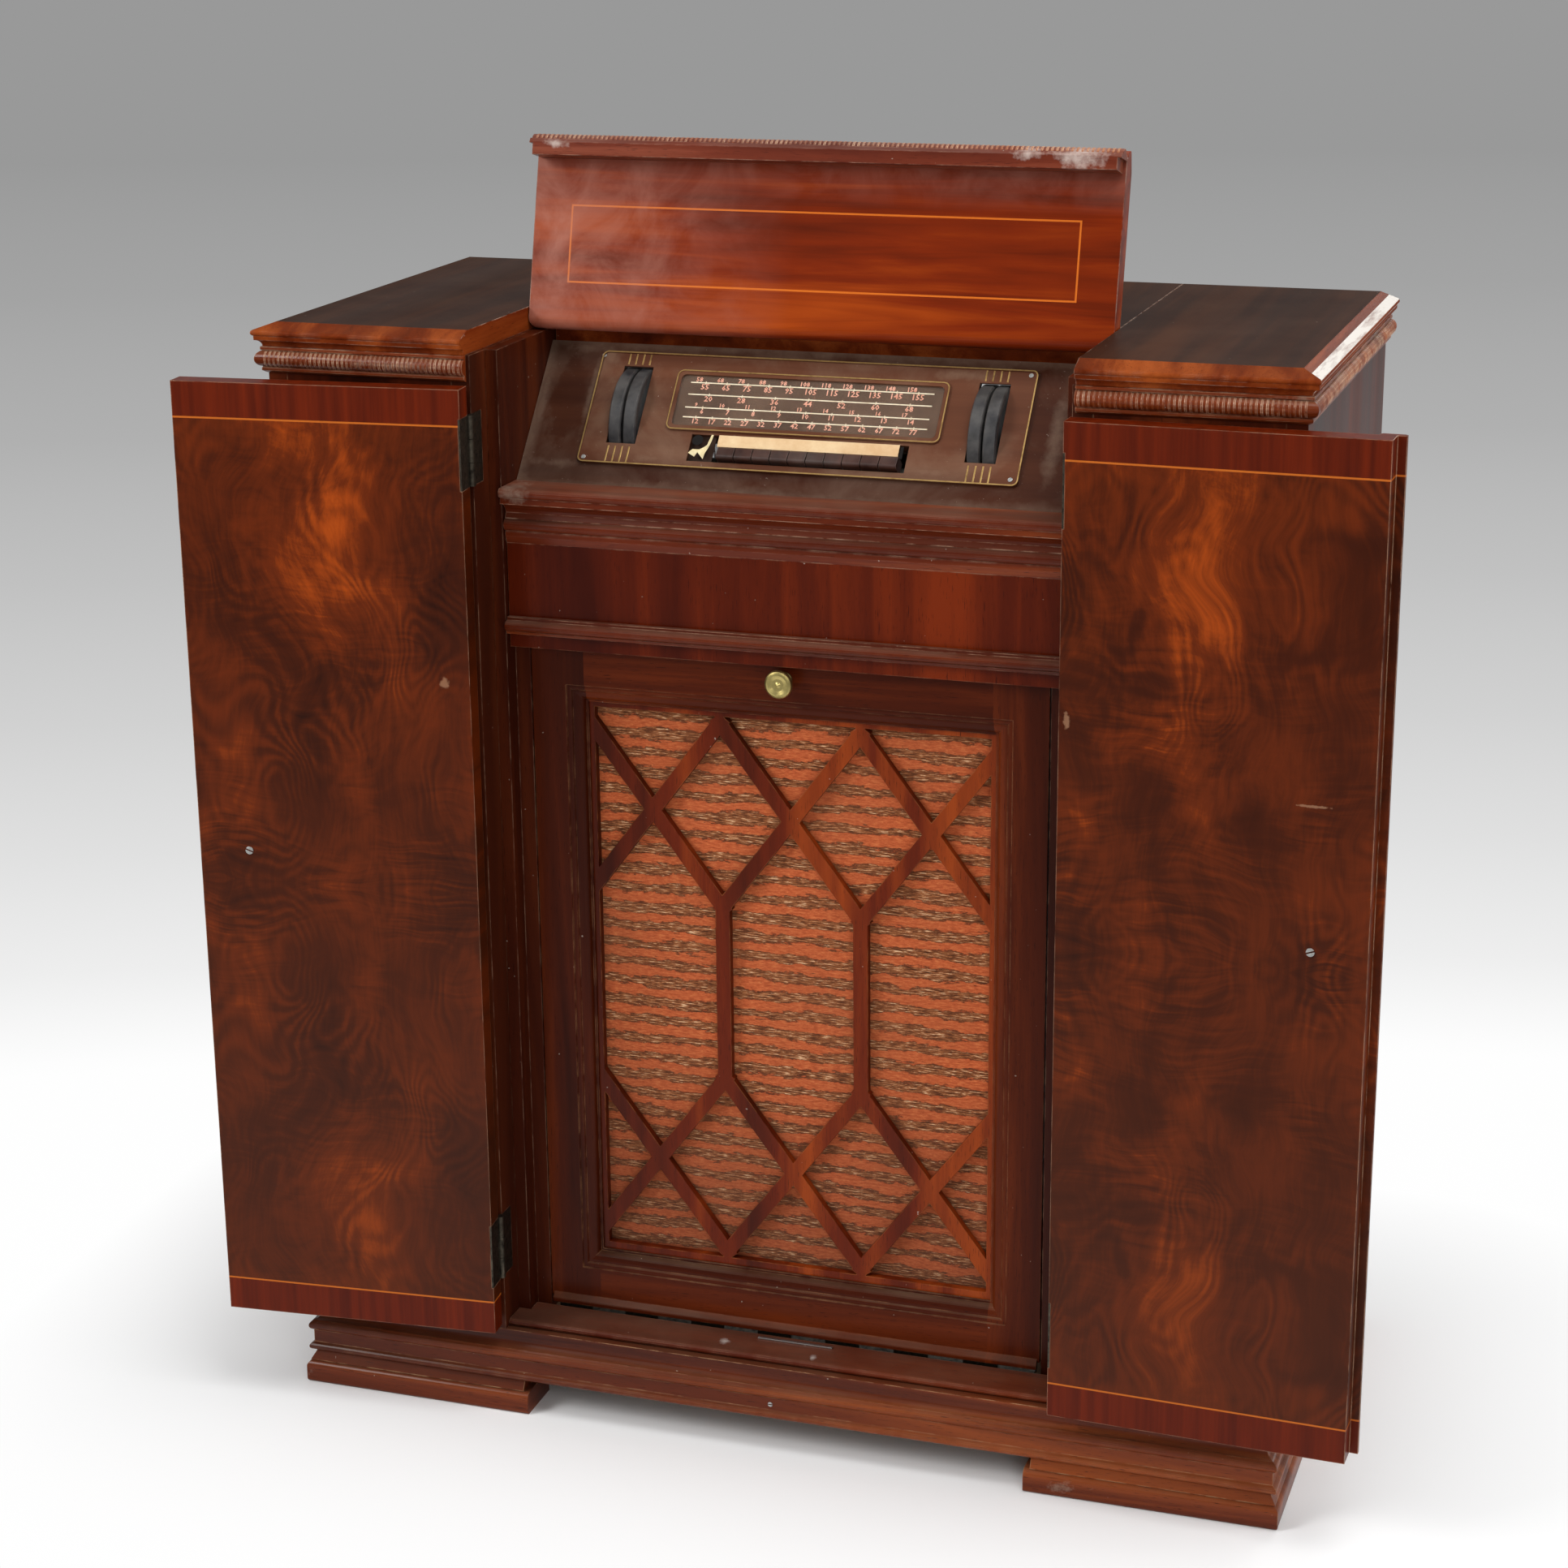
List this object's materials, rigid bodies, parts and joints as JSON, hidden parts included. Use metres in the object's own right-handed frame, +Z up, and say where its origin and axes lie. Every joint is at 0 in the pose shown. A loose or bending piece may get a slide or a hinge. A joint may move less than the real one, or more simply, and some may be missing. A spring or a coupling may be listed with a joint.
{
  "type": "radio-gramophone console cabinet",
  "caption": "Walnut radio-gramophone console: two doors, a lid over a sloping control panel, and a tilt-out grille front that carries the record deck",
  "frame": {"origin": "on the floor, in the cabinet's plane of symmetry; in depth the middle of the whole object as pictured, open doors included", "axes": "+X to the right seen from the front, -Y the front, +Z up"},
  "size_m": [0.9727, 0.437, 1.071],
  "materials": {
    "walnut": "walnut veneer under glossy varnish",
    "dark_walnut": "dark stained walnut, glossy",
    "inner_wood": "plain raw boards of the inside",
    "brass": "aged brass",
    "steel": "plated steel",
    "bronze_plate": "dark bronzed plate with a thin bright rim",
    "dial_glass": "clear",
    "valve_glass": "clear with a silvered top",
    "dial_print": "printed scale",
    "ivory": "yellowed label strip",
    "bakelite": "moulded, dark brown",
    "cloth": "banded tweed loudspeaker cloth",
    "pointer_red": "painted",
    "platter_felt": "pressed steel with a felt top"
  },
  "bodies": {
    "cabinet": {"left_side_panel": "walnut", "right_side_panel": "walnut", "tower_front_panels": "walnut", "partitions": "walnut", "cheeks": "dark_walnut", "tower_tops": "dark_walnut", "cornices": "walnut", "rear_top": "dark_walnut", "bottom_board": "inner_wood", "sill": "walnut", "base_moulding": "walnut", "feet": "walnut", "control_panel": "dark_walnut", "escutcheon": "bronze_plate", "dial_glass": "dial_glass", "dial_scale": "dial_print", "button_strip": "ivory", "nose_moulding": "dark_walnut", "frieze": "walnut", "strip_moulding": "walnut", "chassis_shelf": "inner_wood", "radio_chassis": "steel", "valves": "valve_glass", "cabinet_ironwork": "steel"},
    "left_door_body": {"left_door": "walnut", "left_door_knob": "brass", "left_door_leaves": "steel"},
    "right_door_body": {"right_door": "walnut", "right_door_knob": "brass", "right_door_leaves": "steel"},
    "lid_body": {"lid": "walnut", "lid_cornice": "walnut", "lid_pivots": "steel"},
    "tilt_front": {"grille_frame": "walnut", "grille_lattice": "walnut", "speaker_cloth": "cloth", "speaker_baffle": "inner_wood", "speaker": "steel", "grille_knob": "brass", "tilt_irons": "steel"},
    "deck_body": {"record_deck": "inner_wood", "deck_motor": "steel"},
    "links": {"levelling_links": "steel"},
    "platter": {"turntable": "platter_felt"},
    "arm": {"tone_arm": "bakelite"},
    "volume": {"volume_wheel": "bakelite"},
    "tone": {"tone_wheel": "bakelite"},
    "tuning": {"tuning_wheel": "bakelite"},
    "band": {"band_wheel": "bakelite"},
    "pointer": {"dial_pointer": "pointer_red"},
    "key_1": {"button_1": "bakelite"},
    "key_2": {"button_2": "bakelite"},
    "key_3": {"button_3": "bakelite"},
    "key_4": {"button_4": "bakelite"},
    "key_5": {"button_5": "bakelite"},
    "key_6": {"button_6": "bakelite"},
    "key_7": {"button_7": "bakelite"},
    "key_8": {"button_8": "bakelite"},
    "key_9": {"button_9": "bakelite"},
    "key_10": {"button_10": "bakelite"}
  },
  "joints": [
    {"name": "left_door_hinge", "type": "hinge", "parent": "cabinet", "child": "left_door_body", "pos_m": [-0.242, -0.17502, 0.5], "axis": [0, 0, -1], "range_deg": [-175, 5]},
    {"name": "right_door_hinge", "type": "hinge", "parent": "cabinet", "child": "right_door_body", "pos_m": [0.242, -0.17502, 0.5], "axis": [0, 0, 1], "range_deg": [-178, 2]},
    {"name": "lid_pivot", "type": "hinge", "parent": "cabinet", "child": "lid_body", "pos_m": [0, -0.03452, 0.92465], "axis": [-1, 0, 0], "range_deg": [-104, 0]},
    {"name": "tilt_hinge", "type": "hinge", "parent": "cabinet", "child": "tilt_front", "pos_m": [0, -0.12152, 0.084], "axis": [1, 0, 0], "range_deg": [0, 35]},
    {"name": "deck_pivot", "type": "hinge", "parent": "tilt_front", "child": "deck_body", "pos_m": [0, 0.03448, 0.507], "axis": [1, 0, 0], "range_deg": [-35, 0]},
    {"name": "link_pivot", "type": "hinge", "parent": "cabinet", "child": "links", "pos_m": [0, -0.03152, 0.084], "axis": [1, 0, 0], "range_deg": [0, 35]},
    {"name": "platter_spindle", "type": "hinge", "parent": "deck_body", "child": "platter", "pos_m": [-0.05, 0.05048, 0.519], "axis": [0, 0, -1], "continuous": true},
    {"name": "arm_pivot", "type": "hinge", "parent": "deck_body", "child": "arm", "pos_m": [0.14, 0.13848, 0.534], "axis": [0, 0, 1], "range_deg": [-50, 3]},
    {"name": "volume_spindle", "type": "hinge", "parent": "cabinet", "child": "volume", "pos_m": [-0.15575, -0.03718, 0.83845], "axis": [1, 0, 0], "range_deg": [-135, 135]},
    {"name": "tone_spindle", "type": "hinge", "parent": "cabinet", "child": "tone", "pos_m": [-0.14325, -0.03718, 0.83845], "axis": [1, 0, 0], "range_deg": [-135, 135]},
    {"name": "tuning_spindle", "type": "hinge", "parent": "cabinet", "child": "tuning", "pos_m": [0.14325, -0.03718, 0.83845], "axis": [1, 0, 0], "range_deg": [-280, 280]},
    {"name": "band_spindle", "type": "hinge", "parent": "cabinet", "child": "band", "pos_m": [0.15575, -0.03718, 0.83845], "axis": [1, 0, 0], "range_deg": [-60, 60]},
    {"name": "pointer_rail", "type": "slide", "parent": "cabinet", "child": "pointer", "axis": [1, 0, 0], "range_m": [-0.1, 0.1]},
    {"name": "key_1_guide", "type": "slide", "parent": "cabinet", "child": "key_1", "axis": [0, 0.7581, -0.6521], "range_m": [0, 0.004], "stiffness_N_per_m": 300, "springref_m": -0.001},
    {"name": "key_2_guide", "type": "slide", "parent": "cabinet", "child": "key_2", "axis": [0, 0.7581, -0.6521], "range_m": [0, 0.004], "stiffness_N_per_m": 300, "springref_m": -0.001},
    {"name": "key_3_guide", "type": "slide", "parent": "cabinet", "child": "key_3", "axis": [0, 0.7581, -0.6521], "range_m": [0, 0.004], "stiffness_N_per_m": 300, "springref_m": -0.001},
    {"name": "key_4_guide", "type": "slide", "parent": "cabinet", "child": "key_4", "axis": [0, 0.7581, -0.6521], "range_m": [0, 0.004], "stiffness_N_per_m": 300, "springref_m": -0.001},
    {"name": "key_5_guide", "type": "slide", "parent": "cabinet", "child": "key_5", "axis": [0, 0.7581, -0.6521], "range_m": [0, 0.004], "stiffness_N_per_m": 300, "springref_m": -0.001},
    {"name": "key_6_guide", "type": "slide", "parent": "cabinet", "child": "key_6", "axis": [0, 0.7581, -0.6521], "range_m": [0, 0.004], "stiffness_N_per_m": 300, "springref_m": -0.001},
    {"name": "key_7_guide", "type": "slide", "parent": "cabinet", "child": "key_7", "axis": [0, 0.7581, -0.6521], "range_m": [0, 0.004], "stiffness_N_per_m": 300, "springref_m": -0.001},
    {"name": "key_8_guide", "type": "slide", "parent": "cabinet", "child": "key_8", "axis": [0, 0.7581, -0.6521], "range_m": [0, 0.004], "stiffness_N_per_m": 300, "springref_m": -0.001},
    {"name": "key_9_guide", "type": "slide", "parent": "cabinet", "child": "key_9", "axis": [0, 0.7581, -0.6521], "range_m": [0, 0.004], "stiffness_N_per_m": 300, "springref_m": -0.001},
    {"name": "key_10_guide", "type": "slide", "parent": "cabinet", "child": "key_10", "axis": [0, 0.7581, -0.6521], "range_m": [0, 0.004], "stiffness_N_per_m": 300, "springref_m": -0.001}
  ],
  "couplings": [
    {"joint": "deck_pivot", "follows": "tilt_hinge", "ratio": -1},
    {"joint": "link_pivot", "follows": "tilt_hinge", "ratio": 1},
    {"joint": "pointer_rail", "follows": "tuning_spindle", "m_per_rad": 0.02}
  ]
}
